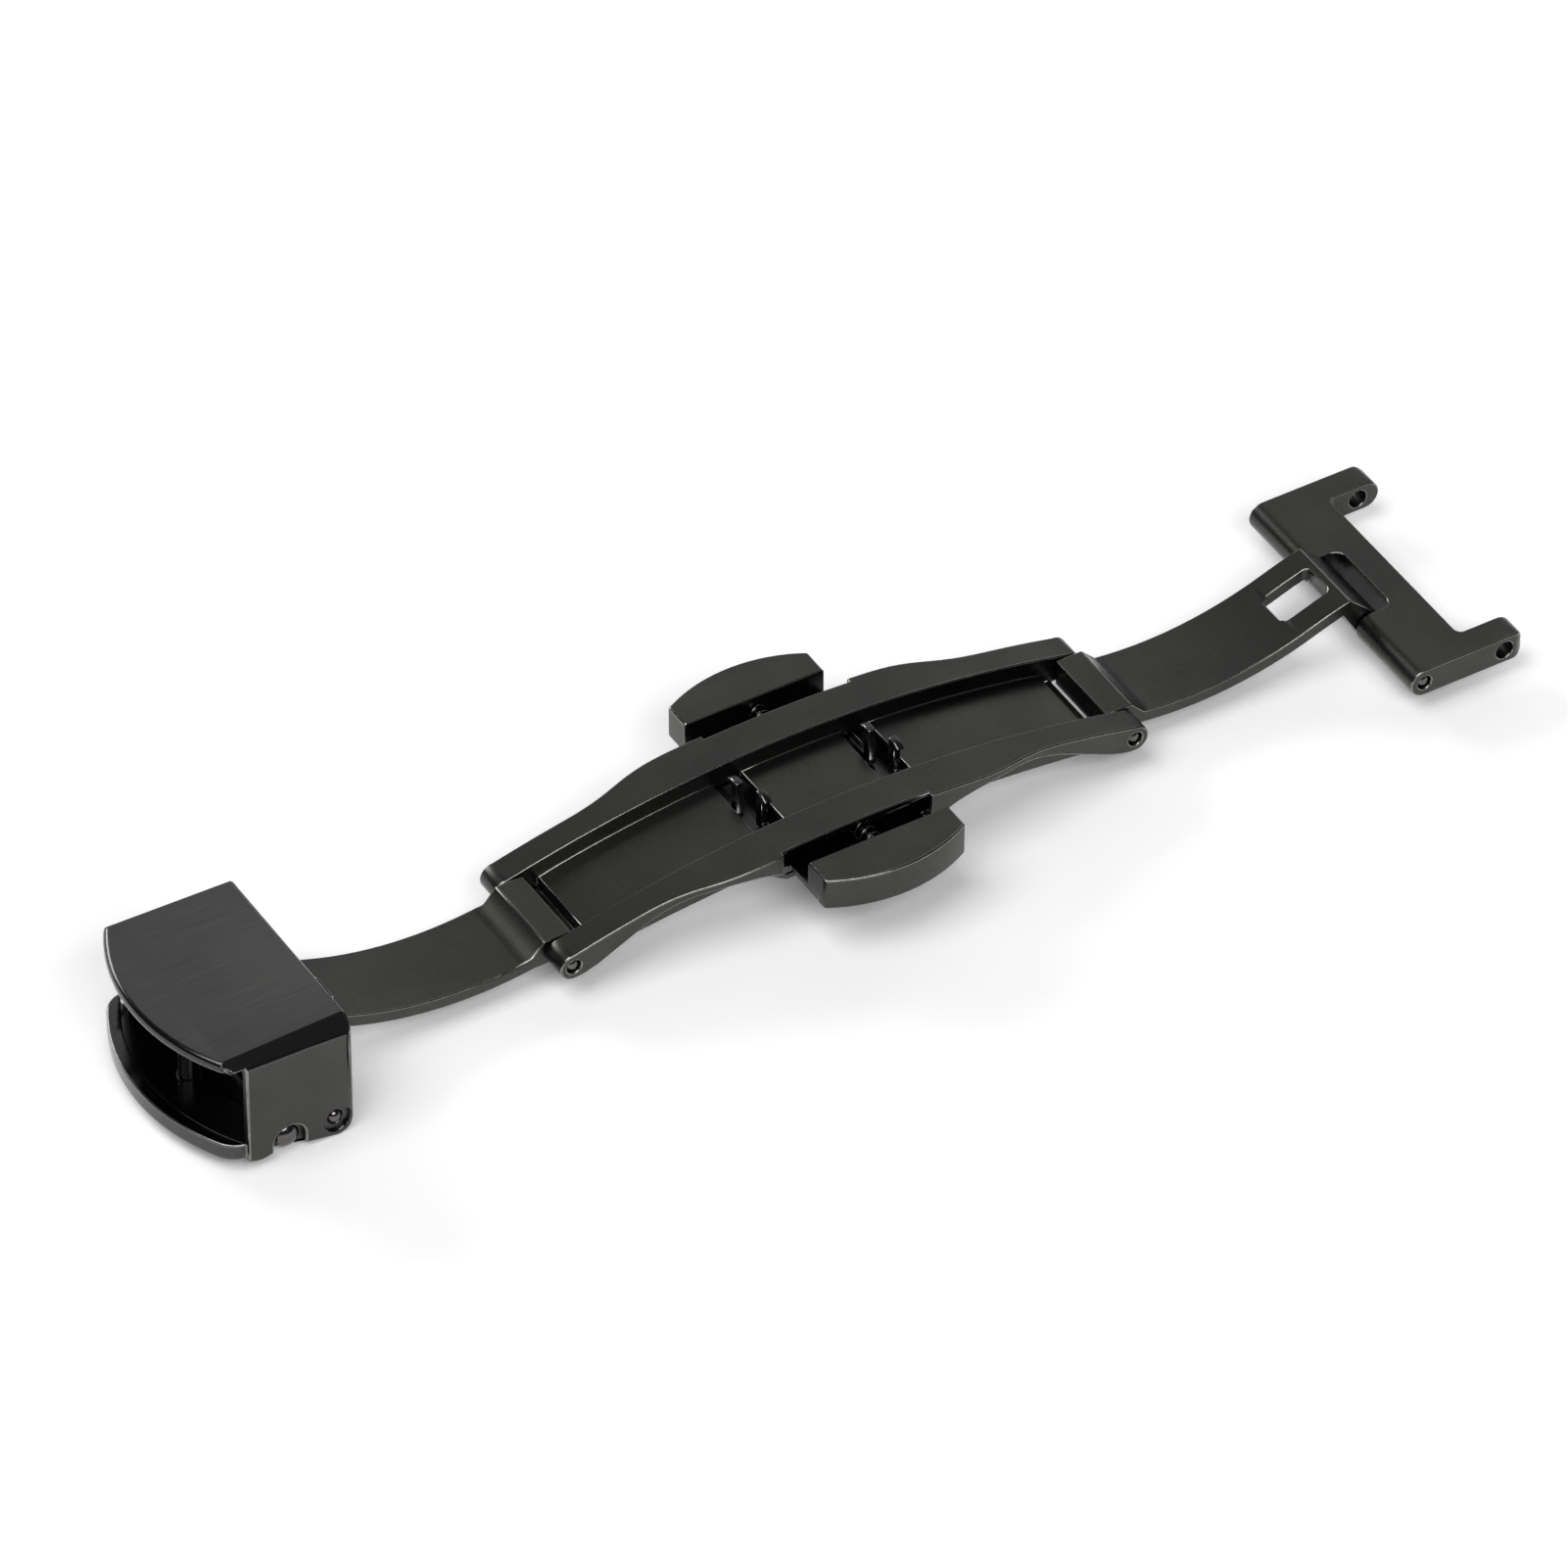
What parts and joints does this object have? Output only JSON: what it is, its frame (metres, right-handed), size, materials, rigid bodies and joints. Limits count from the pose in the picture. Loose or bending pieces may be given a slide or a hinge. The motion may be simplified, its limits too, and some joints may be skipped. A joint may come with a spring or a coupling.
{
  "type": "deployant clasp",
  "caption": "Double-push folding clasp for a strap: arched centre channel, two hinged leaves, strap cap with gate, and lug plate.",
  "frame": {"origin": "under the middle of the open clasp, level with its lowest point, the bottom of the cap's side walls", "axes": "+X along the strap from the cap towards the lug plate, +Y across the strap towards the far pusher, +Z away from the wrist"},
  "size_m": [0.099, 0.0224, 0.0093],
  "materials": {
    "coated_steel_satin": "satin black coated steel",
    "coated_steel_brushed": "black coated steel, finely brushed, bevels polished",
    "coated_steel_polished": "polished black coated steel",
    "coated_steel_plain": "plain black coated steel",
    "pin_steel": "bright ground steel",
    "rivet_steel": "plain dark steel",
    "spring_wire": "drawn spring wire"
  },
  "bodies": {
    "channel": {"centre_channel": "coated_steel_satin", "mechanism_cover": "coated_steel_plain", "cover_rivets": "rivet_steel", "left_channel_pin": "pin_steel", "right_channel_pin": "pin_steel", "near_return_spring": "spring_wire", "far_return_spring": "spring_wire", "near_guide_stem": "coated_steel_plain", "far_guide_stem": "coated_steel_plain"},
    "left_leaf": {"left_leaf": "coated_steel_satin"},
    "right_leaf": {"right_leaf": "coated_steel_satin"},
    "lug_plate": {"lug_plate": "coated_steel_satin", "lug_plate_pin": "pin_steel"},
    "cap": {"cap_shell": "coated_steel_brushed", "cap_hinge_pin": "pin_steel", "gate_pin": "pin_steel"},
    "gate": {"strap_gate": "coated_steel_plain", "strap_tongue": "coated_steel_plain"},
    "near_pusher": {"near_pusher": "coated_steel_polished", "near_latch": "coated_steel_plain", "near_latch_rivets": "rivet_steel"},
    "far_pusher": {"far_pusher": "coated_steel_polished", "far_latch": "coated_steel_plain", "far_latch_rivets": "rivet_steel"}
  },
  "joints": [
    {"name": "left_leaf_hinge", "type": "hinge", "parent": "channel", "child": "left_leaf", "pos_m": [-0.02022, 0, 0.00293], "axis": [0, 1, 0], "range_deg": [0, 164.5]},
    {"name": "cap_hinge", "type": "hinge", "parent": "left_leaf", "child": "cap", "pos_m": [-0.03948, 0, 0.0014], "axis": [0, 1, 0], "range_deg": [-164.5, 0]},
    {"name": "strap_gate_hinge", "type": "hinge", "parent": "cap", "child": "gate", "pos_m": [-0.04288, 0, 0.00128], "axis": [0, 1, 0], "range_deg": [-75, 0]},
    {"name": "right_leaf_hinge", "type": "hinge", "parent": "channel", "child": "right_leaf", "pos_m": [0.02218, 0, 0.00293], "axis": [0, -1, 0], "range_deg": [0, 164.5]},
    {"name": "lug_plate_hinge", "type": "hinge", "parent": "right_leaf", "child": "lug_plate", "pos_m": [0.04158, 0, 0.00253], "axis": [0, -1, 0], "range_deg": [-164.5, 0]},
    {"name": "near_pusher_slide", "type": "slide", "parent": "channel", "child": "near_pusher", "axis": [0, 1, 0], "range_m": [0, 0.001], "stiffness_N_per_m": 900, "springref_m": -0.0005, "deforming": ["near_return_spring"]},
    {"name": "far_pusher_slide", "type": "slide", "parent": "channel", "child": "far_pusher", "axis": [0, -1, 0], "range_m": [0, 0.001], "stiffness_N_per_m": 900, "springref_m": -0.0005, "deforming": ["far_return_spring"]}
  ],
  "couplings": [
    {"joint": "cap_hinge", "follows": "left_leaf_hinge", "ratio": -1},
    {"joint": "lug_plate_hinge", "follows": "right_leaf_hinge", "ratio": -1}
  ]
}
